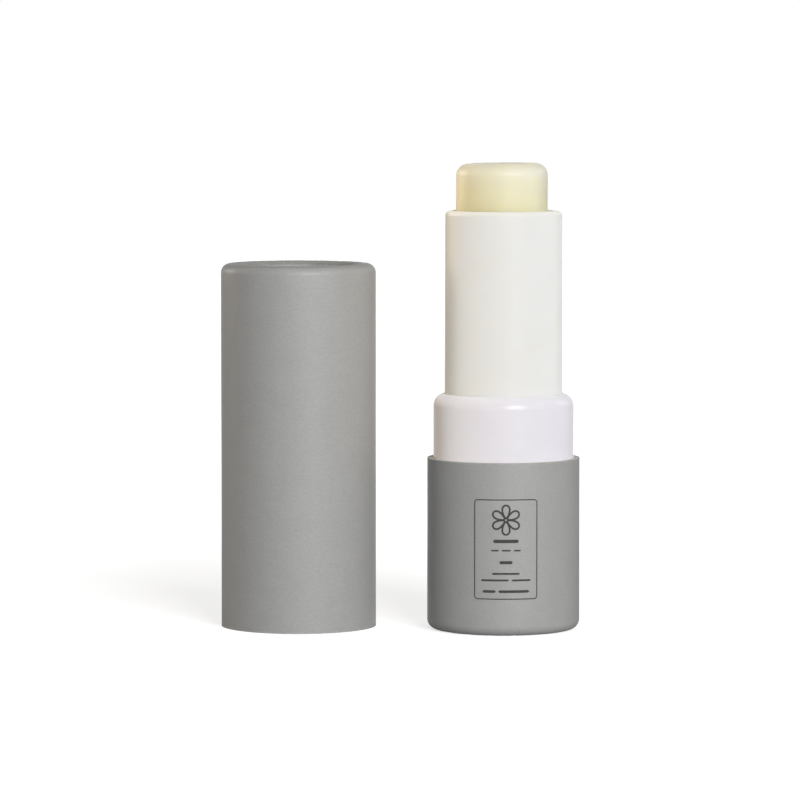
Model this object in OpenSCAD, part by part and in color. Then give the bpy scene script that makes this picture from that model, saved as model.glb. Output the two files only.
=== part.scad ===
// Twist-up lip balm in a wrapped paper tube, with its cap off and standing beside it.
// Millimetres, +Z up, floor at z = 0. The base stands on the right, the cap stands
// mouth down on the left, and the front of both faces -Y.
//
// The balm sits in a cup. Two lugs on the cup reach out through upright slots in a guide
// tube, which is fixed in the base, into a two-start spiral groove in the bore of the
// sleeve. Turning the sleeve clockwise, seen from above, winds the balm up.

/* [Balm] */
// Diameter of the balm stick
balm_d = 12.1; // [9:0.1:16]
// How far the balm stands out of the sleeve
balm_show = 6.2; // [3:0.1:12]
// Radius round the top edge of the balm
balm_edge_r = 1.6; // [0.4:0.1:3]
// Gap that the wax leaves in its cup as it sets
balm_gap = 0.03; // [0.01:0.01:0.1]

/* [Cup] */
// Wall of the cup that holds the balm
cup_wall = 0.4; // [0.3:0.05:0.8]
// Height of the cup
cup_h = 9; // [7.5:0.5:14]
// Thickness of the cup's floor
cup_floor_t = 1; // [0.6:0.1:2]
// Diameter of the air hole in the cup's floor
cup_vent_d = 2; // [1:0.5:4]
// Diameter of each lug on the cup
lug_d = 1.4; // [1:0.1:2]
// Height of the cup's rim above the middle of its lugs
lug_drop = 5.4; // [3:0.1:6]

/* [Travel] */
// Whole travel of the cup, from its lowest to its highest
travel_h = 25.6; // [16:0.2:28]
// How far the cup can sink from the height shown
rise_down = 7.6; // [4:0.2:9]
// How far below the sleeve's rim the cup's rim stops
cup_stop_gap = 0.2; // [0:0.1:1]
// Free height under the cup at its lowest
cup_floor_gap = 1.2; // [0.4:0.1:3]

/* [Guide tube] */
// Wall of the slotted guide tube
guide_wall = 0.42; // [0.35:0.01:0.8]
// Thickness of the flange at its foot
guide_foot_t = 1.2; // [0.8:0.1:2]
// Gap between its top and the sleeve's lip
guide_top_gap = 0.2; // [0.1:0.1:1]

/* [Sleeve] */
// Wall of the sleeve where it turns in the collar
sleeve_wall = 0.69; // [0.6:0.01:1.2]
// How far the sleeve's radius shrinks from the collar to its rim
sleeve_draft = 0.08; // [0:0.01:0.2]
// Height of the sleeve above the collar
sleeve_show = 23.8; // [20:0.2:32]
// Radius round the outer edge of the rim
sleeve_edge_r = 0.6; // [0.2:0.05:0.8]
// Radius round the inner edge of the rim
sleeve_bore_edge_r = 0.2; // [0.1:0.05:0.3]
// Height of the lip that turns in over the guide tube
sleeve_lip_t = 0.9; // [0.8:0.1:2]
// Height of the bead that holds the sleeve under the collar's lip
bead_t = 1; // [0.6:0.1:1.6]
// How far the bead stands out
bead_out = 0.36; // [0.2:0.02:0.6]

/* [Spiral groove] */
// Height that the groove climbs in one turn
spiral_turn_h = 30; // [20:1:40]
// Depth of the groove in the sleeve's wall
groove_depth = 0.35; // [0.2:0.01:0.4]
// Play between a lug and each flank of the groove, and each side of its slot
lug_play = 0.12; // [0.08:0.01:0.2]
// Gap between a lug's end and the groove's floor
lug_end_gap = 0.13; // [0.05:0.01:0.15]
// Level stretch at the top of each groove, in degrees
dwell_deg = 20; // [5:1:40]
// How much deeper the level stretch is than the climb
dwell_deeper = 0.02; // [0.01:0.01:0.05]
// Direction of the first slot, in degrees anticlockwise from +X
slot_deg = 47; // [0:1:359]

/* [Collar] */
// Wall of the collar
collar_wall = 0.95; // [0.7:0.05:1.6]
// Height of the collar above the paper base
collar_show = 8.4; // [5:0.1:12]
// How far the collar steps out where it meets the paper's rim
collar_step = 0.2; // [0.2:0.05:0.35]
// Radius of the collar's shoulder
collar_shoulder_r = 1.6; // [0.6:0.1:1.8]
// Height of the lip that the sleeve turns in
collar_lip_t = 2; // [1.8:0.1:3]
// Thickness of the floor that carries the guide tube
collar_floor_t = 1.2; // [0.8:0.1:2]
// Number of ribs under that floor
collar_ribs = 6; // [3:1:8]
// Thickness of each rib
collar_rib_t = 0.8; // [0.6:0.1:1.2]
// Diameter of the hub where the ribs meet
collar_hub_d = 4.4; // [3:0.2:6]
// Number of keys that stop the guide tube turning
key_count = 4; // [2:1:6]
// Width of each key
key_w = 1; // [0.6:0.1:2]
// How far each key stands in from the collar's wall
key_in = 0.7; // [0.4:0.05:0.7]

/* [Paper base] */
// Height of the paper base
base_h = 22.4; // [18:0.2:30]
// Thickness of the base's board
base_board_t = 0.8; // [0.5:0.05:0.9]
// Outer radius of the rolled bottom edge
base_curl_r = 1.25; // [1.15:0.05:1.5]

/* [Paper cap] */
// Height of the cap
cap_h = 47.6; // [45:0.2:60]
// Thickness of the cap's board
cap_board_t = 0.75; // [0.4:0.05:0.8]
// Outer radius of the rolled top edge
cap_curl_r = 1.2; // [1.1:0.05:1.5]
// How far to the left of the base the cap stands
cap_left = 26.8; // [24:0.2:60]
// How far behind the base the cap stands
cap_back = 3.1; // [0:0.1:20]

/* [Paper stock] */
// Thickness of the printed paper round the board
wrap_t = 0.15; // [0.1:0.05:0.2]
// Level stretch in the middle of a rolled edge
curl_flat = 0.5; // [0.2:0.1:1]
// Thickness of the discs that close the tubes
disc_t = 1; // [0.6:0.1:1.6]
// How deep each disc lies inside its rolled edge
disc_inset = 1.6; // [1.5:0.1:2.4]
// How far a disc's edge is pressed into the board
disc_bite = 0.2; // [0.2:0.05:0.35]

/* [Fits] */
// Radial clearance of the cup in the guide tube, and of that tube in the sleeve
slide_fit = 0.05; // [0.02:0.01:0.1]
// Radial clearance of the sleeve in the collar's lip, and of the cup in the sleeve's lip
lip_fit = 0.07; // [0.03:0.01:0.1]
// Radial clearance of the cap on the collar
cap_fit = 0.1; // [0.05:0.01:0.2]
// Radial gap round the retaining bead
bead_gap = 0.15; // [0.1:0.01:0.3]
// End play of the sleeve between the guide tube's flange and the collar's lip
end_play = 0.1; // [0.05:0.01:0.3]
// Glue line between pieces that are fixed in each other
glue_gap = 0.05; // [0.02:0.01:0.1]

/* [Hidden] */
$fn = 96;

// How far a cut runs past the face it opens, and a rib into the wall it joins
over = 0.3;

// Turn of the spiral groove from one of its slices to the next, in degrees
slice_deg = 6;

// Radii, from the balm outwards
balm_r = balm_d / 2;
cup_bore_r = balm_r + balm_gap;
cup_r = cup_bore_r + cup_wall;
guide_bore_r = cup_r + slide_fit;
guide_r = guide_bore_r + guide_wall;
sleeve_bore_r = guide_r + slide_fit;
sleeve_lip_bore_r = cup_r + lip_fit;
journal_r = sleeve_bore_r + sleeve_wall;
sleeve_rim_r = journal_r - sleeve_draft;
groove_r = sleeve_bore_r + groove_depth;
lug_end_r = groove_r - lug_end_gap;
bead_r = journal_r + bead_out;
collar_lip_bore_r = journal_r + lip_fit;
collar_bore_r = bead_r + bead_gap;
collar_r = collar_bore_r + collar_wall;
guide_foot_r = collar_bore_r - glue_gap;
skirt_r = collar_r - collar_step;
base_bore_r = skirt_r + glue_gap;
base_r = base_bore_r + base_board_t + wrap_t;
cap_bore_r = collar_r + cap_fit;
cap_r = cap_bore_r + cap_board_t + wrap_t;

// Heights, from the paper base upwards and back down through the mechanism
collar_foot_z = disc_inset + disc_t;
collar_top_z = base_h + collar_show;
collar_lip_z = collar_top_z - collar_lip_t;
sleeve_top_z = collar_top_z + sleeve_show;
balm_top_z = sleeve_top_z + balm_show;
rise_up = travel_h - rise_down;
cup_rim_z = sleeve_top_z - cup_stop_gap - rise_up;
cup_z = cup_rim_z - cup_h;
lug_z = cup_rim_z - lug_drop;
seat_z = cup_z - rise_down - cup_floor_gap;
sleeve_z = seat_z + guide_foot_t + end_play;
guide_top_z = sleeve_top_z - sleeve_lip_t - guide_top_gap;
bead_top_z = collar_lip_z - end_play;

// The run of the lugs, half a turn apart: the slots and the grooves share it
lug_turns = [0, 180];
lug_room = lug_d + 2 * lug_play;
run_low_z = lug_z - rise_down - lug_room / 2;
run_high_z = lug_z + rise_up + lug_room / 2;

// The pair stands centred on the origin
base_at = [(cap_left + cap_r - base_r) / 2, -(cap_back + cap_r - base_r) / 2, 0];
cap_at = base_at + [-cap_left, cap_back, 0];

paper_grey = "#a6a5a2";
board_white = "#dedbd4";
collar_white = "#ebe8ef";
sleeve_white = "#e8e7e0";
inner_white = "#f3f2ec";
wax_yellow = "#ece5c4";

// One layer of a paper tube in section, with its closed end at y = 0 rolled inwards:
// face_r and face_y are the layer's outer face, bend_r the outer radius of its bends
module rolled_sheet(face_r, face_y, sheet_t, bend_r, tube_h) {
    bend_y = face_y + bend_r;
    bend_x = face_r - bend_r;
    leg_x = bend_x - curl_flat;
    translate([face_r - sheet_t, bend_y]) square([sheet_t, tube_h - bend_y]);
    translate([bend_x, bend_y]) quarter_bend(bend_r, sheet_t, 0);
    translate([leg_x, face_y]) square([curl_flat, sheet_t]);
    translate([leg_x, bend_y]) quarter_bend(bend_r, sheet_t, 1);
    translate([leg_x - bend_r, bend_y]) square([sheet_t, disc_inset - bend_y]);
}

// Lower quarter of a ring in section; flip = 1 gives the quarter nearer the axis
module quarter_bend(bend_r, sheet_t, flip) {
    mirror([flip, 0]) intersection() {
        difference() {
            circle(bend_r);
            circle(bend_r - sheet_t);
        }
        translate([0, -bend_r]) square(bend_r);
    }
}

// The printed paper outside a tube, and the board inside it
module tube_wrap(tube_r, tube_h, curl_r) {
    rotate_extrude() rolled_sheet(tube_r, 0, wrap_t, curl_r, tube_h);
}

module tube_board(bore_r, board_t, tube_h, curl_r) {
    rotate_extrude() difference() {
        rolled_sheet(bore_r + board_t, wrap_t, board_t, curl_r - wrap_t, tube_h);
        translate([bore_r - over, disc_inset]) square([over + disc_bite, disc_t]);
    }
}

module tube_disc(bore_r) {
    translate([0, 0, disc_inset]) cylinder(r = bore_r + disc_bite - glue_gap, h = disc_t);
}

// Turns a tube over, so that its closed end is at the top
module mouth_down(tube_h) {
    translate([0, 0, tube_h]) mirror([0, 0, 1]) children();
}

// Solid of revolution's section with a rounded upper outer edge
module rounded_post(post_r, low, high, edge_r) {
    translate([0, low]) square([post_r, high - edge_r - low]);
    translate([0, high - edge_r]) square([post_r - edge_r, edge_r]);
    translate([post_r - edge_r, high - edge_r]) circle(edge_r);
}

module cap_wrap() {
    color(paper_grey) translate(cap_at) mouth_down(cap_h) tube_wrap(cap_r, cap_h, cap_curl_r);
}

module cap_tube() {
    color(board_white) translate(cap_at) mouth_down(cap_h)
        tube_board(cap_bore_r, cap_board_t, cap_h, cap_curl_r);
}

module cap_disc() {
    color(paper_grey) translate(cap_at) mouth_down(cap_h) tube_disc(cap_bore_r);
}

module base_wrap() {
    color(paper_grey) translate(base_at) tube_wrap(base_r, base_h, base_curl_r);
}

module base_tube() {
    color(board_white) translate(base_at)
        tube_board(base_bore_r, base_board_t, base_h, base_curl_r);
}

module base_disc() {
    color(paper_grey) translate(base_at) tube_disc(base_bore_r);
}

// Plastic inner of the base: a skirt glued into the paper, a step that rests on the paper's
// rim and takes the cap, a lip that the sleeve turns in, and a ribbed floor that carries
// the guide tube
module collar() {
    color(collar_white) translate(base_at) {
        rotate_extrude() collar_section();
        collar_web();
        collar_keys();
    }
}

module collar_section() {
    difference() {
        union() {
            translate([0, collar_foot_z]) square([skirt_r, base_h - collar_foot_z + over]);
            rounded_post(collar_r, base_h, collar_top_z, collar_shoulder_r);
        }
        translate([0, collar_foot_z - over])
            square([collar_bore_r, seat_z - collar_floor_t - collar_foot_z + over]);
        translate([0, seat_z]) square([collar_bore_r, collar_lip_z - seat_z]);
        translate([0, collar_lip_z - over]) square([collar_lip_bore_r, collar_lip_t + 2 * over]);
    }
}

// Hub and ribs between the floor and the base's disc
module collar_web() {
    web_h = seat_z - collar_floor_t - collar_foot_z + over;
    translate([0, 0, collar_foot_z]) {
        cylinder(d = collar_hub_d, h = web_h);
        for (i = [0 : collar_ribs - 1])
            rotate(i * 360 / collar_ribs) translate([0, -collar_rib_t / 2, 0])
                cube([collar_bore_r + over, collar_rib_t, web_h]);
    }
}

// Places a key or its notch at each of the key positions
module at_keys() {
    for (i = [0 : key_count - 1]) rotate(i * 360 / key_count) children();
}

module collar_keys() {
    at_keys() translate([collar_bore_r - key_in, -key_w / 2, seat_z - over])
        cube([key_in + over, key_w, guide_foot_t + over]);
}

// Slotted tube that keeps the cup from turning with the sleeve
module guide_tube() {
    notch_w = key_w + 2 * glue_gap;
    color(inner_white) translate(base_at) difference() {
        union() {
            translate([0, 0, seat_z]) cylinder(r = guide_foot_r, h = guide_foot_t);
            translate([0, 0, seat_z]) cylinder(r = guide_r, h = guide_top_z - seat_z);
        }
        translate([0, 0, seat_z - over])
            cylinder(r = guide_bore_r, h = guide_top_z - seat_z + 2 * over);
        rotate(slot_deg) translate([-guide_foot_r, -lug_room / 2, run_low_z])
            cube([2 * guide_foot_r, lug_room, run_high_z - run_low_z]);
        at_keys() translate([collar_bore_r - key_in - glue_gap, -notch_w / 2, seat_z - over])
            cube([key_in + over, notch_w, guide_foot_t + 2 * over]);
    }
}

// Outer tube that the fingers turn, with the spiral groove in its bore
module sleeve() {
    color(sleeve_white) translate(base_at) difference() {
        rotate_extrude() sleeve_section();
        for (turn = lug_turns) rotate(turn) spiral_groove();
    }
}

module sleeve_section() {
    taper_z = collar_top_z + over;
    difference() {
        union() {
            translate([0, sleeve_z]) square([journal_r, taper_z - sleeve_z]);
            polygon([[0, taper_z], [journal_r, taper_z],
                     [sleeve_rim_r, sleeve_top_z - sleeve_edge_r],
                     [0, sleeve_top_z - sleeve_edge_r]]);
            rounded_post(sleeve_rim_r, sleeve_top_z - sleeve_edge_r - over, sleeve_top_z,
                         sleeve_edge_r);
            retaining_bead();
        }
        translate([0, sleeve_z - over])
            square([sleeve_bore_r, sleeve_top_z - sleeve_lip_t - sleeve_z + over]);
        sleeve_mouth();
    }
}

// Bead with a sloping underside, so that it snaps down through the collar's lip
module retaining_bead() {
    polygon([[sleeve_bore_r, bead_top_z - bead_t], [journal_r, bead_top_z - bead_t],
             [bead_r, bead_top_z - bead_t / 2], [bead_r, bead_top_z],
             [sleeve_bore_r, bead_top_z]]);
}

// Opening in the sleeve's lip, with a rounded upper edge
module sleeve_mouth() {
    edge_x = sleeve_lip_bore_r + sleeve_bore_edge_r;
    edge_y = sleeve_top_z - sleeve_bore_edge_r;
    translate([0, sleeve_top_z - sleeve_lip_t - over])
        square([sleeve_lip_bore_r, sleeve_lip_t + 2 * over]);
    difference() {
        translate([0, edge_y]) square([edge_x, sleeve_bore_edge_r + over]);
        translate([edge_x, edge_y]) circle(sleeve_bore_edge_r);
    }
}

// One start of the spiral: a right-hand climbing run that meets the lug at rest, and a
// level stretch that takes over from the run's top, where the balm stays up
module spiral_groove() {
    mid_r = (sleeve_bore_r + groove_r) / 2;
    deg_per_mm = 360 / spiral_turn_h;
    climb = atan(spiral_turn_h / (2 * PI * mid_r));
    half_deg = lug_room / cos(climb) * deg_per_mm / 2;
    run_h = run_high_z - lug_play - run_low_z;
    lead_in_deg = half_deg / 2;
    translate([0, 0, run_low_z]) rotate(slot_deg + (run_low_z - lug_z) * deg_per_mm)
        linear_extrude(height = run_h, twist = -run_h * deg_per_mm,
                       slices = ceil(run_h * deg_per_mm / slice_deg), $fn = 8)
            groove_sector(half_deg);
    translate([0, 0, run_high_z - lug_room])
        rotate(slot_deg + rise_up * deg_per_mm - lead_in_deg)
            rotate_extrude(angle = lead_in_deg + half_deg + dwell_deg)
                translate([guide_r, 0])
                    square([groove_r + dwell_deeper - guide_r, lug_room]);
}

// Plan of a groove: its floor is an arc, and its open side lies inside the bore
module groove_sector(half_deg) {
    arc = [for (i = [-2 : 2]) half_deg * i / 2];
    polygon(concat([for (a = arc) groove_r * [cos(a), sin(a)]],
                   [for (a = [half_deg, -half_deg]) cup_r * [cos(a), sin(a)]]));
}

// Cup that carries the balm, with a lug on each side
module balm_cup() {
    color(inner_white) translate(base_at) difference() {
        union() {
            translate([0, 0, cup_z]) cylinder(r = cup_r, h = cup_h);
            rotate(slot_deg) translate([-lug_end_r, 0, lug_z]) rotate([0, 90, 0])
                cylinder(d = lug_d, h = 2 * lug_end_r);
        }
        translate([0, 0, cup_z + cup_floor_t]) cylinder(r = cup_bore_r, h = cup_h);
        translate([0, 0, cup_z - over]) cylinder(d = cup_vent_d, h = cup_floor_t + 2 * over);
    }
}

module balm() {
    color(wax_yellow) translate(base_at)
        rotate_extrude() rounded_post(balm_r, cup_z + cup_floor_t, balm_top_z, balm_edge_r);
}

cap_wrap();
cap_tube();
cap_disc();
base_wrap();
base_tube();
base_disc();
collar();
guide_tube();
sleeve();
balm_cup();
balm();
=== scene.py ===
import math

import bmesh
import bpy
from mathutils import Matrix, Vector, noise

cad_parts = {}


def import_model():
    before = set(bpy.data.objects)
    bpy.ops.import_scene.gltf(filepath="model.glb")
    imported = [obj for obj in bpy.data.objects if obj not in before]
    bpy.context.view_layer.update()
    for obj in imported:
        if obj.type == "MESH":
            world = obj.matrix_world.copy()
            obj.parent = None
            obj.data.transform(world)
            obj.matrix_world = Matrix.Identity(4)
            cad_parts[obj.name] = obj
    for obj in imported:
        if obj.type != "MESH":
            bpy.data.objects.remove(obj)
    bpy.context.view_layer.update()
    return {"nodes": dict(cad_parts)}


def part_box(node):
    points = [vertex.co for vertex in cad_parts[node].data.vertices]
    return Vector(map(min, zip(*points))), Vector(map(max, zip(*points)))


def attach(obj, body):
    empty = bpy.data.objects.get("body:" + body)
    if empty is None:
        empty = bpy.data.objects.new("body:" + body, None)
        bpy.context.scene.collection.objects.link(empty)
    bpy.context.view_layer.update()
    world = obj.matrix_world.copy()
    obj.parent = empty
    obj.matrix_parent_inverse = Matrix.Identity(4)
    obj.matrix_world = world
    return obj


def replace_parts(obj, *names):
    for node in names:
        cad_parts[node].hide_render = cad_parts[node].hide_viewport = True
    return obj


# Looks of a twist-up lip balm in a wrapped paper tube, with its cap standing beside it.
# Metres, +Z up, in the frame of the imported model. The front faces -Y.

MM = 0.001

# Camera: place, downward pitch in degrees, and lens on a 36 mm sensor
CAMERA_AT = Vector((0.0, -636.95, 75.8)) * MM
CAMERA_PITCH = 4.134
CAMERA_LENS = 219.7
SENSOR = 36.0

# Paper tubes, as the solids are made
WRAP_T = 0.15 * MM
CAP_CURL_R = 1.2 * MM
BASE_CURL_R = 1.25 * MM
CURL_FLAT = 0.5 * MM
DISC_INSET = 1.6 * MM

# The wrap's lap seam, at the back of each tube, in degrees from the front
SEAM_AT = 176.0
SEAM_STEP = 0.06 * MM
SEAM_REACH = 26.0
PLEAT_DEPTH = 0.075 * MM
WALL_WAVE = 0.02 * MM
WRAP_STEPS = 420
# Depth in from the closed end over which the painted shade in the folds fades out
FOLD_SHADE_FROM = 0.35 * MM
FOLD_SHADE_TO = 0.7 * MM

# Balm stick: its soft edge, the waves of its skin, its lean to the left, how much it shrank in its
# cup, how much its top sags, where round it and over what height, and how near its axis it is made
BALM_EDGE_R = 1.6 * MM
BALM_WAVE = 0.04 * MM
BALM_LEAN = 0.25 * MM
BALM_SHRINK = 0.05 * MM
BALM_SAG = 0.15 * MM
BALM_SAG_AT = 55.0
BALM_TOP_H = 3.0 * MM
BALM_CORE_R = 0.06 * MM
BALM_STEPS = 180

# Spiral groove, whose light through the sleeve's thin wall is painted as a faint warm band
GROOVE_AT = 47.0
GROOVE_Z = 31.0 * MM
GROOVE_DEG_PER_M = 12.0 / MM
GROOVE_HALF = 11.9
GROOVE_LOW = 22.6 * MM
GROOVE_HIGH = 49.8 * MM

# Printed panel on the paper base: its middle is turned a little to the right of the front
PRINT_TURN = 0.8
PRINT_LIFT = 0.012 * MM
PRINT_DEPTH = 0.03 * MM
FRAME_W = 8.25 * MM
FRAME_LOW = 4.87 * MM
FRAME_HIGH = 17.7 * MM
FRAME_LINE = 0.13 * MM
FRAME_CORNER = 0.4 * MM
ROSETTE_Z = 15.1 * MM
ROSETTE_R = 1.9 * MM
ROSETTE_LINE = 0.24 * MM
PETALS = 6
WORD_GAP = 0.38 * MM
# Each row of plain bars: height of its middle, thickness, and the lengths of its bars
PRINT_ROWS = (
    (12.35, 0.44, (3.3,)),
    (11.15, 0.2, (1.0, 1.2, 0.9)),
    (9.6, 0.4, (1.7,)),
    (8.15, 0.24, (3.6,)),
    (7.3, 0.24, (3.6, 2.5)),
    (5.85, 0.34, (1.7, 4.0)),
)

# How much of the floor's white near the object is its own, apart from what lights it
FLOOR_GLOW = 0.72
FLOOR_COLOUR = (0.6, 0.6, 0.6, 1.0)
FLOOR_R = 3.0
FLOOR_DROP = 0.02 * MM
# Distances from the middle between which the floor's own white rises from its glow to full
GLOW_FROM = 0.05
GLOW_TO = 0.16
# The world as light, and how far back a direction points where the white backdrop starts
WORLD_FRONT = (0.03, 0.03, 0.028, 1.0)
WORLD_BACK = (0.06, 0.06, 0.06, 1.0)
BACKDROP_FROM = 0.8

LAMP_DISTANCE = 1.1
LAMP_AIM_Z = 30 * MM
# Lamps: name, azimuth from the front to the right and elevation in degrees, size, level, colour
LAMPS = (
    ("key", 20, 22, 0.45, 0.87, (1.0, 1.0, 1.0)),
    ("back_left", -125, 14, 0.5, 0.32, (1.0, 0.92, 0.82)),
    ("back_right", 120, 22, 0.45, 0.1, (1.0, 1.0, 1.0)),
    ("top", 0, 70, 0.6, 0.1, (1.0, 1.0, 1.0)),
)
# Soft fills for the white plastic and the balm, and more for the balm alone
PALE_FILLS = (
    ("fill_back", -125, 10, 0.8, 0.43, (1.0, 0.76, 0.46)),
    ("fill_side", -60, 10, 0.8, 0.17, (1.0, 0.6, 0.06)),
    ("fill_left", -25, 10, 0.8, 0.11, (0.65, 0.85, 1.0)),
)
BALM_FILLS = (
    ("balm_side", -55, 10, 0.8, 0.13, (1.0, 0.95, 0.7)),
    ("balm_right", 75, 10, 0.8, 0.33, (0.9, 0.93, 1.0)),
    ("balm_top", 180, 50, 0.8, 0.16, (1.0, 1.0, 0.95)),
)


def add_node(tree, kind, inputs=None, **settings):
    """A node with its inputs linked or set."""
    made = tree.nodes.new(kind)
    for key, value in settings.items():
        setattr(made, key, value)
    for key, value in (inputs or {}).items():
        if isinstance(value, bpy.types.NodeSocket):
            tree.links.new(value, made.inputs[key])
        else:
            made.inputs[key].default_value = value
    return made


class Finish:
    """A material made of nodes, with a Principled shader at its end."""

    def __init__(self, name, **constants):
        self.material = bpy.data.materials.new(name)
        self.material.use_nodes = True
        self.tree = self.material.node_tree
        self.shader = self.tree.nodes["Principled BSDF"]
        for key, value in constants.items():
            self.shader.inputs[key.replace("_", " ")].default_value = value
        self.place = self.add("ShaderNodeTexCoord").outputs["Object"]

    def add(self, kind, inputs=None, **settings):
        return add_node(self.tree, kind, inputs, **settings)

    def math(self, operation, *values, clamp=False):
        made = self.add("ShaderNodeMath", dict(enumerate(values)), operation=operation)
        made.use_clamp = clamp
        return made.outputs[0]

    def remap(self, value, low, high, to_low=0.0, to_high=1.0, smooth=True):
        kind = "SMOOTHSTEP" if smooth else "LINEAR"
        inputs = {"Value": value, "From Min": low, "From Max": high}
        inputs.update({"To Min": to_low, "To Max": to_high})
        return self.add("ShaderNodeMapRange", inputs, interpolation_type=kind).outputs[0]

    def noise(self, vector, size, detail=3.0, rough=0.55):
        inputs = {"Vector": vector, "Scale": 1 / size, "Detail": detail, "Roughness": rough}
        return self.add("ShaderNodeTexNoise", inputs).outputs["Fac"]

    def stretched(self, vector, scale):
        made = self.add("ShaderNodeVectorMath", {0: vector, 1: scale}, operation="MULTIPLY")
        return made.outputs[0]

    def blend(self, share, first, second):
        made = self.add("ShaderNodeMix", {0: share, 6: first, 7: second}, data_type="RGBA")
        return made.outputs[2]

    def split(self, vector):
        return self.add("ShaderNodeSeparateXYZ", {0: vector}).outputs

    def unrolled(self, axis):
        """Round an upright axis: degrees from the front, and a flat vector to paint on."""
        x, y, z = self.split(self.place)
        across = self.math("SUBTRACT", x, axis.x)
        behind = self.math("SUBTRACT", y, axis.y)
        turn = self.math("ARCTAN2", across, self.math("MULTIPLY", behind, -1.0))
        radius = self.math("SQRT", self.math("ADD", self.math("MULTIPLY", across, across),
                                             self.math("MULTIPLY", behind, behind)))
        along = self.math("MULTIPLY", turn, radius)
        flat = self.add("ShaderNodeCombineXYZ", {0: along, 1: z, 2: radius}).outputs[0]
        return self.math("DEGREES", turn), flat, radius, z

    def colour(self, socket):
        self.tree.links.new(socket, self.shader.inputs["Base Color"])

    def roughness(self, socket):
        self.tree.links.new(socket, self.shader.inputs["Roughness"])

    def relief(self, *layers):
        """Bump from (height socket, depth in metres) layers, one on the other."""
        normal = None
        for height, depth in layers:
            inputs = {"Height": height, "Distance": depth, "Strength": 1.0}
            if normal is not None:
                inputs["Normal"] = normal
            normal = self.add("ShaderNodeBump", inputs).outputs[0]
        self.tree.links.new(normal, self.shader.inputs["Normal"])


def rgba(r, g, b):
    return (r, g, b, 1.0)


def paper(name, axis, edge, end, roll):
    """Grey printed paper: soft clouds, short fibres, a fine tooth, a paler worn edge, and painted shade in
    dark pleat-like creases inside the rolled end.

    edge is the height of the cut mouth, end that of the closed end, and roll the radius inside
    which the paper is rolled in.
    """
    made = Finish(name, Specular_IOR_Level=0.5, Coat_Weight=0.12, Coat_Roughness=0.3)
    _, flat, radius, z = made.unrolled(axis)
    tooth = made.noise(flat, 0.16 * MM, 2.0, 0.6)
    upright = made.noise(made.stretched(flat, (1, 0.22, 1)), 0.13 * MM, 1.0)
    level = made.noise(made.stretched(flat, (0.2, 1, 1)), 0.12 * MM, 1.0)
    cloud = made.noise(flat, 2.6 * MM, 3.0, 0.6)
    fibre = made.math("ADD", made.math("MULTIPLY", upright, 0.35), made.math("MULTIPLY", level, 0.65))
    grain = made.math("ADD", made.math("MULTIPLY", tooth, 0.55), made.math("MULTIPLY", fibre, 0.45))
    shade = made.math("ADD", made.math("MULTIPLY", grain, 0.85), made.math("MULTIPLY", cloud, 0.15))
    tone = made.blend(made.remap(shade, 0.38, 0.62), rgba(0.355, 0.353, 0.343), rgba(0.405, 0.404, 0.396))
    worn = made.remap(made.math("ABSOLUTE", made.math("SUBTRACT", z, edge)), 0.0, 0.35 * MM, 1.0, 0.0)
    rubbed = made.math("MULTIPLY", worn, made.remap(made.noise(flat, 0.5 * MM, 3.0), 0.42, 0.62))
    tone = made.blend(made.math("MULTIPLY", rubbed, 0.4), tone, rgba(0.52, 0.51, 0.49))
    # Painted shade: dark creases along the roll, in the recess where the paper turns down into the end
    depth = made.math("ABSOLUTE", made.math("SUBTRACT", z, end))
    fold_shade_reach = made.math("MULTIPLY", made.remap(radius, roll - 1.0 * MM, roll - 0.5 * MM, 1.0, 0.0),
                       made.remap(depth, FOLD_SHADE_FROM, FOLD_SHADE_TO, 1.0, 0.0))
    fold_shade_streaks = made.noise(made.stretched(flat, (1, 0.3, 0.3)), 0.42 * MM, 3.0, 0.7)
    painted_fold_shade = made.math("MULTIPLY", fold_shade_reach, made.remap(fold_shade_streaks, 0.36, 0.6, 1.0, 0.2))
    made.colour(made.blend(painted_fold_shade, tone, rgba(0.2, 0.198, 0.186)))
    made.roughness(made.remap(grain, 0.3, 0.7, 0.46, 0.58))
    made.relief((cloud, 0.02 * MM), (fibre, 0.008 * MM), (tooth, 0.008 * MM))
    return made.material


def board(name, axis):
    """Pale board with its plies showing as fine rings at a cut edge."""
    made = Finish(name, Specular_IOR_Level=0.2)
    _, flat, _, _ = made.unrolled(axis)
    plies = made.noise(made.stretched(flat, (0.12, 0.3, 1)), 0.14 * MM, 2.0)
    fibre = made.noise(flat, 0.2 * MM, 4.0, 0.65)
    shade = made.math("ADD", made.math("MULTIPLY", plies, 0.6), made.math("MULTIPLY", fibre, 0.4))
    made.colour(made.blend(made.remap(shade, 0.35, 0.65), rgba(0.58, 0.565, 0.52), rgba(0.76, 0.745, 0.70)))
    made.roughness(made.remap(fibre, 0.3, 0.7, 0.82, 0.95))
    made.relief((plies, 0.02 * MM), (fibre, 0.015 * MM))
    return made.material


def collar_plastic(axis):
    """Cool white moulded plastic, satin, with faint upright rub marks from the cap."""
    made = Finish("collar_plastic", Specular_IOR_Level=0.5, Diffuse_Roughness=0.8, Subsurface_Weight=0.15,
                  Subsurface_Radius=(1.0, 0.8, 0.9), Subsurface_Scale=0.6 * MM)
    _, flat, _, _ = made.unrolled(axis)
    rubs = made.noise(made.stretched(flat, (1, 0.06, 1)), 0.22 * MM, 3.0, 0.7)
    peel = made.noise(flat, 0.9 * MM, 2.0)
    cloud = made.noise(flat, 3.2 * MM, 2.0)
    made.colour(made.blend(made.remap(cloud, 0.3, 0.7), rgba(0.775, 0.755, 0.795), rgba(0.79, 0.773, 0.81)))
    made.roughness(made.remap(rubs, 0.35, 0.65, 0.3, 0.4))
    made.relief((peel, 0.003 * MM), (rubs, 0.002 * MM))
    return made.material


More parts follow.
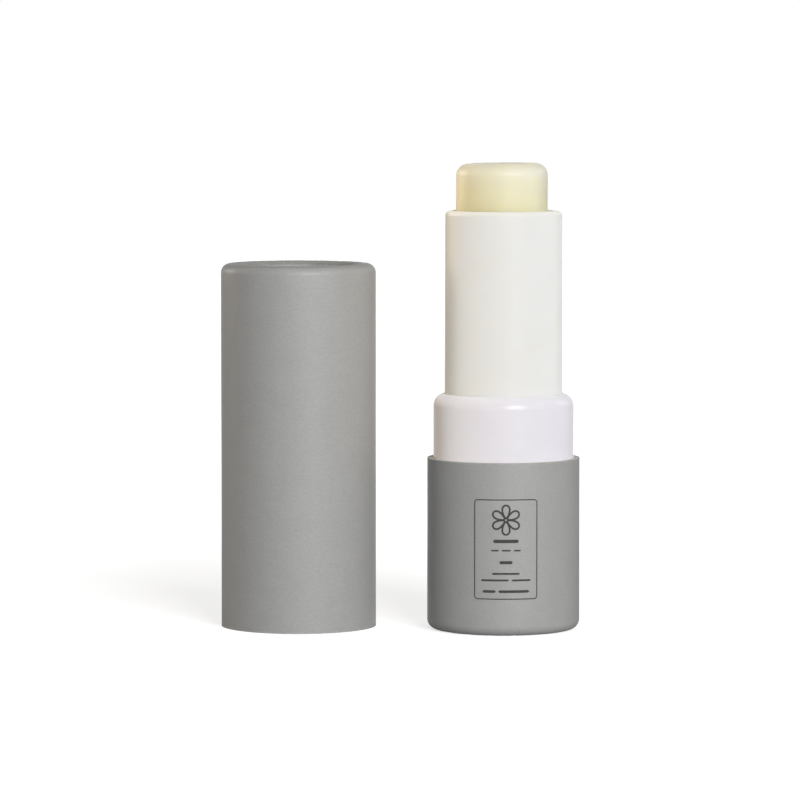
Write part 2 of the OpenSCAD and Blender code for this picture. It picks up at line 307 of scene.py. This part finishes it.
def groove_glow_share(made, degrees, z):
    """How strongly the painted light through the thin wall over the spiral groove shows at a point of the
    sleeve, from 0 to 1.
    """
    climb = made.math("MULTIPLY", made.math("SUBTRACT", z, GROOVE_Z), GROOVE_DEG_PER_M)
    # The groove's own angle counts from +X, which lies 90 degrees to the right of the front
    from_start = made.math("SUBTRACT", made.math("SUBTRACT", degrees, GROOVE_AT + 90.0), climb)
    # Two starts, half a turn apart: the distance to the nearer one, in degrees
    off = made.math("ABSOLUTE", made.math("WRAP", from_start, 90.0, -90.0))
    band = made.remap(off, GROOVE_HALF * 0.6, GROOVE_HALF * 1.5, 1.0, 0.0)
    above = made.remap(z, GROOVE_LOW, GROOVE_LOW + 2 * MM)
    below = made.remap(z, GROOVE_HIGH - 2 * MM, GROOVE_HIGH + 1 * MM, 1.0, 0.0)
    return made.math("MULTIPLY", band, made.math("MULTIPLY", above, below))


def sleeve_plastic(axis, top):
    """Thin off-white plastic: light gets into the wall, and the light through the wall over the groove is
    painted as a warm faint band.
    """
    made = Finish("sleeve_plastic", Specular_IOR_Level=0.4, Diffuse_Roughness=1.0,
                  Subsurface_Weight=0.15, Subsurface_Radius=(1.0, 0.9, 0.6), Subsurface_Scale=0.5 * MM)
    degrees, flat, _, z = made.unrolled(axis)
    cloud = made.noise(flat, 2.4 * MM, 3.0, 0.6)
    streak = made.noise(made.stretched(flat, (1, 0.1, 1)), 0.7 * MM, 3.0)
    patch = made.noise(flat, 6.0 * MM, 2.0)
    body = made.blend(made.remap(cloud, 0.3, 0.7), rgba(0.785, 0.78, 0.76), rgba(0.79, 0.788, 0.775))
    # Painted light: a faint warm band where light through the thin wall over the groove brings in the balm's
    # yellow
    share = made.math("MULTIPLY", groove_glow_share(made, degrees, z), made.remap(patch, 0.35, 0.65, 0.3, 1.0))
    body = made.blend(made.math("MULTIPLY", share, 0.12), body, rgba(0.80, 0.74, 0.56))
    # Painted light: the lip over the guide tube takes on the balm's yellow, as light from the balm shining
    # through it
    lip_glow = made.remap(z, top - 0.9 * MM, top - 0.3 * MM, 0.0, 0.2)
    made.colour(made.blend(lip_glow, body, rgba(0.80, 0.765, 0.66)))
    made.roughness(made.remap(streak, 0.35, 0.65, 0.36, 0.5))
    made.relief((cloud, 0.002 * MM), (streak, 0.002 * MM))
    return made.material


def inner_plastic(axis):
    """Plain white plastic of the pieces inside, with fine draw marks from the mould."""
    made = Finish("inner_plastic", Specular_IOR_Level=0.4, Subsurface_Weight=0.2,
                  Subsurface_Radius=(1.0, 0.9, 0.8), Subsurface_Scale=0.4 * MM)
    _, flat, _, _ = made.unrolled(axis)
    draw = made.noise(made.stretched(flat, (1, 0.05, 1)), 0.15 * MM, 3.0)
    cloud = made.noise(flat, 2.0 * MM, 2.0)
    made.colour(made.blend(made.remap(cloud, 0.35, 0.65), rgba(0.79, 0.78, 0.74), rgba(0.86, 0.85, 0.81)))
    made.roughness(made.remap(draw, 0.35, 0.65, 0.35, 0.5))
    made.relief((draw, 0.004 * MM))
    return made.material


def wax(axis, low, high):
    """Pale yellow balm: deeper yellow at its low end, paler and darker towards its high end, softly waxy;
    the darkening towards the top is painted shade.
    """
    made = Finish("balm_wax", Specular_IOR_Level=0.35, Subsurface_Weight=1.0,
                  Subsurface_Radius=(1.0, 0.9, 0.5), Subsurface_Scale=9.0 * MM)
    _, _, _, z = made.unrolled(axis)
    cloud = made.noise(made.place, 2.2 * MM, 3.0, 0.6)
    bloom = made.noise(made.place, 0.5 * MM, 4.0, 0.7)
    rise = made.remap(z, low, high)
    depth = made.math("ADD", rise, made.math("MULTIPLY", made.math("SUBTRACT", cloud, 0.5), 0.2), clamp=True)
    # Painted shade: the high end's colour is darker, standing in for the top getting less light
    made.colour(made.blend(depth, rgba(0.715, 0.675, 0.435), rgba(0.64, 0.615, 0.505)))
    made.roughness(made.remap(bloom, 0.35, 0.65, 0.34, 0.46))
    made.relief((cloud, 0.02 * MM), (bloom, 0.003 * MM))
    return made.material


def ink(axis):
    """Dark grey print, a little uneven where the paper's tooth takes less of it."""
    made = Finish("print_ink", Specular_IOR_Level=0.2)
    _, flat, _, _ = made.unrolled(axis)
    tooth = made.noise(flat, 0.12 * MM, 3.0, 0.65)
    made.colour(made.blend(made.remap(tooth, 0.35, 0.7), rgba(0.045, 0.045, 0.045), rgba(0.11, 0.11, 0.107)))
    made.roughness(made.remap(tooth, 0.3, 0.7, 0.7, 0.85))
    made.relief((tooth, 0.008 * MM))
    return made.material


def node_axis(node):
    """Middle of a round CAD node, its radius, and its lowest and highest point."""
    low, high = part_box(node)
    return (low + high) / 2, (high.x - low.x) / 2, low.z, high.z


def new_object(name, bm, material):
    bmesh.ops.recalc_face_normals(bm, faces=bm.faces[:])
    mesh = bpy.data.meshes.new(name)
    bm.to_mesh(mesh)
    bm.free()
    mesh.materials.append(material)
    for polygon in mesh.polygons:
        polygon.use_smooth = True
    mesh.set_sharp_from_angle(angle=math.radians(38))
    made = bpy.data.objects.new(name, mesh)
    bpy.context.scene.collection.objects.link(made)
    return made


def turned(angles, section, place):
    """A closed section, a list of points, turned round an axis; place(point, angle) gives each vertex."""
    bm = bmesh.new()
    rings = [[bm.verts.new(place(point, angle)) for point in section] for angle in angles]
    for ring, following in zip(rings, rings[1:] + rings[:1]):
        for i in range(len(section)):
            j = (i + 1) % len(section)
            bm.faces.new((ring[i], ring[j], following[j], following[i]))
    return bm


def spread(first, last, steps):
    return [first + (last - first) * i / steps for i in range(steps + 1)]


def arc(centre_x, centre_y, radius, first, last, steps):
    """Points of an arc, by its angles in degrees."""
    turns = [math.radians(a) for a in spread(first, last, steps)]
    return [(centre_x + radius * math.cos(t), centre_y + radius * math.sin(t)) for t in turns]


def roll_face(radius, height, face_y, curl_r, steps, wall_steps):
    """One face of a rolled wrap from its mouth to the end of its inner leg, rolled end at height 0."""
    bend_x, bend_y = radius - curl_r, face_y + curl_r
    leg_x = bend_x - CURL_FLAT
    wall = [(radius, y) for y in spread(height, bend_y, wall_steps)[:-1]]
    outer_bend = arc(bend_x, bend_y, curl_r, 0, -90, steps)
    inner_bend = arc(leg_x, bend_y, curl_r, -90, -180, steps)
    return wall, outer_bend, inner_bend + [(leg_x - curl_r, DISC_INSET)]


def crease(turn, offset):
    """Depth share of the pleats round a rolled edge at one angle, from 0 to 1."""
    spot = Vector((math.cos(turn), math.sin(turn), offset))
    fine = abs(noise.noise(spot * 13.0)) * 4.5
    broad = 0.5 + noise.noise(spot * 3.0)
    return max(0.0, 1.0 - fine) ** 1.5 * min(1.0, max(0.25, broad))


def paper_wrap(node, piece, curl_r, rolled_up, seed, material):
    """The printed paper of a tube: its rolled end is pleated, and its lap seam steps up at the back."""
    middle, radius, low, high = node_axis(node)
    height = high - low
    wall, outer_bend, rest = roll_face(radius, height, 0.0, curl_r, 12, 24)
    back = roll_face(radius - WRAP_T, height, WRAP_T, curl_r - WRAP_T, 5, 1)
    outside = [(x, y, 0.0, 1.0) for x, y in wall]
    last = len(outer_bend) - 1
    outside += [(x, y, (i / last) ** 1.5, 1 - i / last) for i, (x, y) in enumerate(outer_bend)]
    outside += [(x, y, 1.0, 0.0) for x, y in rest[:-1]] + [(*rest[-1], 0.6, 0.0)]
    inside = [(x, y, 0.0, 0.0) for part in back for x, y in part][::-1]
    # The pleats push in towards the middle of the roll
    heart = Vector((radius - curl_r - CURL_FLAT / 2, curl_r))

    def place(point, turn):
        x, y, pleat, wave = point
        spot = Vector((math.sin(turn) * radius, -math.cos(turn) * radius, y)) / (9 * MM)
        x -= wave * WALL_WAVE * (0.5 + 0.5 * noise.noise(spot + Vector((seed, 0, 0))))
        before_seam = (math.radians(SEAM_AT) - turn) % math.tau
        if 0 < before_seam < math.radians(SEAM_REACH):
            x -= wave * SEAM_STEP * (1 - before_seam / math.radians(SEAM_REACH)) ** 2
        inward = heart - Vector((x, y))
        push = pleat * PLEAT_DEPTH * crease(turn + 0.03 * pleat, seed)
        flat = Vector((x, y)) + inward.normalized() * push
        z = high - flat.y if rolled_up else low + flat.y
        return (middle.x + flat.x * math.sin(turn), middle.y - flat.x * math.cos(turn), z)

    angles = sorted(spread(0.0, math.tau, WRAP_STEPS)[:-1] + [math.radians(SEAM_AT) + 1e-4])
    bm = turned(angles, outside + inside, place)
    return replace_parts(new_object(piece, bm, material), node)


def soft_balm(node, material):
    """The balm stick, cast and a little uneven, with soft shoulders."""
    middle, radius, low, high = node_axis(node)
    radius -= BALM_SHRINK
    shoulder = arc(radius - BALM_EDGE_R, high - BALM_EDGE_R, BALM_EDGE_R, 0, 90, 16)
    side = [(radius, z) for z in spread(low, high - BALM_EDGE_R, 40)[:-1]]
    crown = [(x, high) for x in spread(radius - BALM_EDGE_R, BALM_CORE_R, 14)[1:]]
    section = [(BALM_CORE_R, low)] + side + shoulder + crown

    def place(point, turn):
        r, z = point
        spot = Vector((math.sin(turn) * r, -math.cos(turn) * r, z)) / (3.5 * MM)
        dip = BALM_WAVE * (0.5 + 0.5 * noise.noise(spot))
        top = max(0.0, 1 - (high - z) / BALM_TOP_H)
        # The casting sags a little towards the front left
        sag = 0.5 + 0.5 * r / radius * math.cos(turn + math.radians(BALM_SAG_AT))
        z -= top * (dip + BALM_SAG * sag ** 2)
        if r > radius * 0.5:
            r -= dip
        lean = BALM_LEAN * min(1.0, (z - low) / (high - low) * 1.2)
        return (middle.x + r * math.sin(turn) - lean, middle.y - r * math.cos(turn), z)

    bm = turned(spread(0.0, math.tau, BALM_STEPS)[:-1], section, place)
    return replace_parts(new_object("balm_cast", bm, material), node)


class Panel:
    """Flat print wrapped onto the paper base: u runs to the right from the panel's middle, v is height."""

    def __init__(self, node, material):
        self.middle, self.radius, low, high = node_axis(node)
        self.material = material

    def vertex(self, bm, u, v, lift):
        turn = u / self.radius + math.radians(PRINT_TURN)
        r = self.radius + lift
        return bm.verts.new((self.middle.x + r * math.sin(turn), self.middle.y - r * math.cos(turn), v))

    def ribbon(self, bm, path, closed):
        """A raised line through path, a list of (u, v, half width)."""
        count = len(path)
        rings = []
        for i, (u, v, half) in enumerate(path):
            before = path[i - 1] if closed or i else path[0]
            after = path[(i + 1) % count] if closed or i < count - 1 else path[-1]
            way = Vector((after[0] - before[0], after[1] - before[1])).normalized()
            side = Vector((-way.y, way.x)) * half
            low, high = -PRINT_DEPTH + PRINT_LIFT, PRINT_LIFT
            corners = ((side, high), (-side, high), (-side, low), (side, low))
            rings.append([self.vertex(bm, u + s.x, v + s.y, lift) for s, lift in corners])
        pairs = list(zip(rings, rings[1:]))
        if closed:
            pairs.append((rings[-1], rings[0]))
        else:
            bm.faces.new(rings[0][::-1])
            bm.faces.new(rings[-1])
        for ring, following in pairs:
            for i in range(4):
                j = (i + 1) % 4
                bm.faces.new((ring[i], ring[j], following[j], following[i]))

    def finish(self, name, bm):
        made = new_object(name, bm, self.material)
        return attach(made, "base")


def frame_path():
    """Rounded rectangle, a point about every 0.4 mm, for the panel's outline."""
    half_w, half_h = FRAME_W / 2 - FRAME_CORNER, (FRAME_HIGH - FRAME_LOW) / 2 - FRAME_CORNER
    mid = (FRAME_LOW + FRAME_HIGH) / 2
    corners = ((half_w, half_h, 0), (-half_w, half_h, 90), (-half_w, -half_h, 180), (half_w, -half_h, 270))
    bends = [arc(x, y, FRAME_CORNER, a, a + 90, 6) for x, y, a in corners]
    path = []
    for bend, following in zip(bends, bends[1:] + bends[:1]):
        (x0, y0), (x1, y1) = bend[-1], following[0]
        steps = max(2, round(math.hypot(x1 - x0, y1 - y0) / (0.4 * MM)))
        path += bend[:-1] + list(zip(spread(x0, x1, steps), spread(y0, y1, steps)))[:-1]
    return [(x, mid + y, FRAME_LINE / 2) for x, y in path]


def petal_path(index):
    """Loop of one petal of the rosette."""
    out = math.radians(90 + index * 360 / PETALS)
    reach, half_l, half_w = ROSETTE_R * 0.56, ROSETTE_R * 0.44, ROSETTE_R * 0.24
    path = []
    for step in range(28):
        t = math.tau * step / 28
        along, across = reach + half_l * math.cos(t), half_w * math.sin(t) * (1 + 0.35 * math.cos(t))
        u = along * math.cos(out) - across * math.sin(out)
        v = along * math.sin(out) + across * math.cos(out)
        path.append((u, ROSETTE_Z + v, ROSETTE_LINE / 2))
    return path


def bar_path(left, right, v, thickness):
    """Straight line with round ends."""
    steps = max(10, round((right - left) / (0.12 * MM)))
    half = thickness / 2
    path = []
    for u in spread(left, right, steps):
        into = min(u - left, right - u, half) / half
        path.append((u, v, half * math.sqrt(max(0.06, 1 - (1 - into) ** 2))))
    return path


def print_panel(node, material):
    """Generic printed panel: an outline, a six-petal rosette and rows of plain bars."""
    panel = Panel(node, material)
    outline, rosette, rows = bmesh.new(), bmesh.new(), bmesh.new()
    panel.ribbon(outline, frame_path(), True)
    for index in range(PETALS):
        panel.ribbon(rosette, petal_path(index), True)
    for v, thickness, words in PRINT_ROWS:
        left = -(sum(words) * MM + WORD_GAP * (len(words) - 1)) / 2
        for word in words:
            panel.ribbon(rows, bar_path(left, left + word * MM, v * MM, thickness * MM), False)
            left += word * MM + WORD_GAP
    panel.finish("print_outline", outline)
    panel.finish("print_rosette", rosette)
    panel.finish("print_rows", rows)


def dress():
    """Gives every node its finish, puts detailed pieces over the paper and the balm.

    Returns the pale pieces, and the balm alone, as lists.
    """
    base_at, base_r, base_low, base_high = node_axis("base_wrap")
    cap_at, cap_r, cap_low, cap_high = node_axis("cap_wrap")
    sleeve_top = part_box("sleeve")[1].z
    balm_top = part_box("balm")[1].z
    base_paper = paper("base_paper", base_at, base_high, base_low, base_r - BASE_CURL_R - CURL_FLAT)
    cap_paper = paper("cap_paper", cap_at, cap_low, cap_high, cap_r - CAP_CURL_R - CURL_FLAT)
    base_board, cap_board = board("base_board", base_at), board("cap_board", cap_at)
    inner = inner_plastic(base_at)
    finishes = {
        "cap_tube": cap_board, "cap_disc": cap_paper, "base_tube": base_board, "base_disc": base_paper,
        "collar": collar_plastic(base_at), "guide_tube": inner, "balm_cup": inner,
        "sleeve": sleeve_plastic(base_at, sleeve_top),
    }
    for name, material in finishes.items():
        mesh = frame["nodes"][name].data
        mesh.materials.clear()
        mesh.materials.append(material)
    pieces = {
        "cap": paper_wrap("cap_wrap", "cap_paper_wrap", CAP_CURL_R, True, 3.7, cap_paper),
        "base": paper_wrap("base_wrap", "base_paper_wrap", BASE_CURL_R, False, 8.2, base_paper),
        "carrier": soft_balm("balm", wax(base_at, sleeve_top - 1 * MM, balm_top - 1 * MM)),
    }
    for body, piece in pieces.items():
        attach(piece, body)
    print_panel("base_wrap", ink(base_at))
    balm_pieces = [pieces["carrier"]]
    pale_nodes = [frame["nodes"][name] for name in ("collar", "guide_tube", "sleeve", "balm_cup")]
    return pale_nodes + balm_pieces, balm_pieces


def camera():
    data = bpy.data.cameras.new("camera")
    data.lens, data.sensor_width = CAMERA_LENS, SENSOR
    made = bpy.data.objects.new("camera", data)
    made.location = CAMERA_AT
    made.rotation_euler = (math.radians(90 - CAMERA_PITCH), 0, 0)
    bpy.context.scene.collection.objects.link(made)
    bpy.context.scene.camera = made


def lamp(name, azimuth, elevation, size, level, colour, pieces=None):
    """Soft box aimed at the object; level is about how bright it lights a white face turned to it.

    Where pieces are given, it lights only them, and only they shade each other from it.
    """
    data = bpy.data.lights.new(name, "AREA")
    data.shape, data.size = "SQUARE", size
    data.energy = level * math.pi ** 2 * LAMP_DISTANCE ** 2
    data.color = colour
    made = bpy.data.objects.new(name, data)
    a, e = math.radians(azimuth), math.radians(elevation)
    away = Vector((math.sin(a) * math.cos(e), -math.cos(a) * math.cos(e), math.sin(e)))
    made.location = away * LAMP_DISTANCE + Vector((0, 0, LAMP_AIM_Z))
    made.rotation_euler = away.to_track_quat("Z", "Y").to_euler()
    bpy.context.scene.collection.objects.link(made)
    if pieces:
        lit = bpy.data.collections.new(name + "_pieces")
        for piece in pieces:
            lit.objects.link(piece)
        made.light_linking.receiver_collection = lit
        made.light_linking.blocker_collection = lit


def seen_directly(tree, way):
    """1 for what the camera sees itself, or in a gloss or through glass towards the backdrop, else 0."""
    path = add_node(tree, "ShaderNodeLightPath").outputs
    unit = add_node(tree, "ShaderNodeVectorMath", {0: way}, operation="NORMALIZE").outputs[0]
    behind = add_node(tree, "ShaderNodeSeparateXYZ", {0: unit}).outputs[1]
    backdrop = add_node(tree, "ShaderNodeMapRange",
                        {"Value": behind, "From Min": BACKDROP_FROM, "From Max": 1.0},
                        interpolation_type="SMOOTHSTEP").outputs[0]
    bent = add_node(tree, "ShaderNodeMath", {0: path["Is Glossy Ray"], 1: path["Is Transmission Ray"]},
                    operation="MAXIMUM").outputs[0]
    bent = add_node(tree, "ShaderNodeMath", {0: bent, 1: backdrop}, operation="MULTIPLY").outputs[0]
    return add_node(tree, "ShaderNodeMath", {0: path["Is Camera Ray"], 1: bent},
                    operation="MAXIMUM").outputs[0]


def world():
    """White where it is seen; as light, dim in front and brighter from the backdrop behind."""
    made = bpy.data.worlds.new("studio")
    made.use_nodes = True
    tree = made.node_tree
    tree.nodes.clear()
    way = add_node(tree, "ShaderNodeTexCoord").outputs["Generated"]
    behind = add_node(tree, "ShaderNodeSeparateXYZ", {0: way}).outputs[1]
    share = add_node(tree, "ShaderNodeMapRange", {"Value": behind, "From Min": 0.0, "From Max": 0.9},
                     interpolation_type="SMOOTHSTEP").outputs[0]
    tint = add_node(tree, "ShaderNodeMix", {0: share, 6: WORLD_FRONT, 7: WORLD_BACK},
                    data_type="RGBA").outputs[2]
    light = add_node(tree, "ShaderNodeBackground", {"Color": tint}).outputs[0]
    white = add_node(tree, "ShaderNodeBackground", {"Color": rgba(1, 1, 1)}).outputs[0]
    both = add_node(tree, "ShaderNodeMixShader",
                    {0: seen_directly(tree, way), 1: light, 2: white}).outputs[0]
    add_node(tree, "ShaderNodeOutputWorld", {0: both})
    bpy.context.scene.world = made


def floor():
    """Pale floor that keeps the soft shadow and melts into the white backdrop."""
    bm = bmesh.new()
    bmesh.ops.create_circle(bm, cap_ends=True, segments=96, radius=FLOOR_R)
    mesh = bpy.data.meshes.new("floor")
    bm.to_mesh(mesh)
    bm.free()
    made = bpy.data.objects.new("floor", mesh)
    made.location.z = -FLOOR_DROP
    bpy.context.scene.collection.objects.link(made)
    material = bpy.data.materials.new("floor_white")
    material.use_nodes = True
    tree = material.node_tree
    tree.nodes.clear()
    place = add_node(tree, "ShaderNodeTexCoord").outputs["Object"]
    length = add_node(tree, "ShaderNodeVectorMath", {0: place}, operation="LENGTH").outputs["Value"]
    far = add_node(tree, "ShaderNodeMapRange", {"Value": length, "From Min": GLOW_FROM, "From Max": GLOW_TO,
                                                "To Min": FLOOR_GLOW, "To Max": 1.0}).outputs[0]
    glow = add_node(tree, "ShaderNodeMath", {0: far, 1: seen_directly(tree, place)}, operation="MULTIPLY")
    shine = add_node(tree, "ShaderNodeEmission", {"Strength": glow.outputs[0]}).outputs[0]
    matte = add_node(tree, "ShaderNodeBsdfDiffuse", {"Color": FLOOR_COLOUR}).outputs[0]
    both = add_node(tree, "ShaderNodeAddShader", {0: shine, 1: matte}).outputs[0]
    add_node(tree, "ShaderNodeOutputMaterial", {0: both})
    mesh.materials.append(material)


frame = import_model()
bpy.context.scene.view_settings.view_transform = "Standard"
camera()
world()
floor()
pale_pieces, balm_pieces = dress()
for settings in LAMPS:
    lamp(*settings)
for settings in PALE_FILLS:
    lamp(*settings, pale_pieces)
for settings in BALM_FILLS:
    lamp(*settings, balm_pieces)
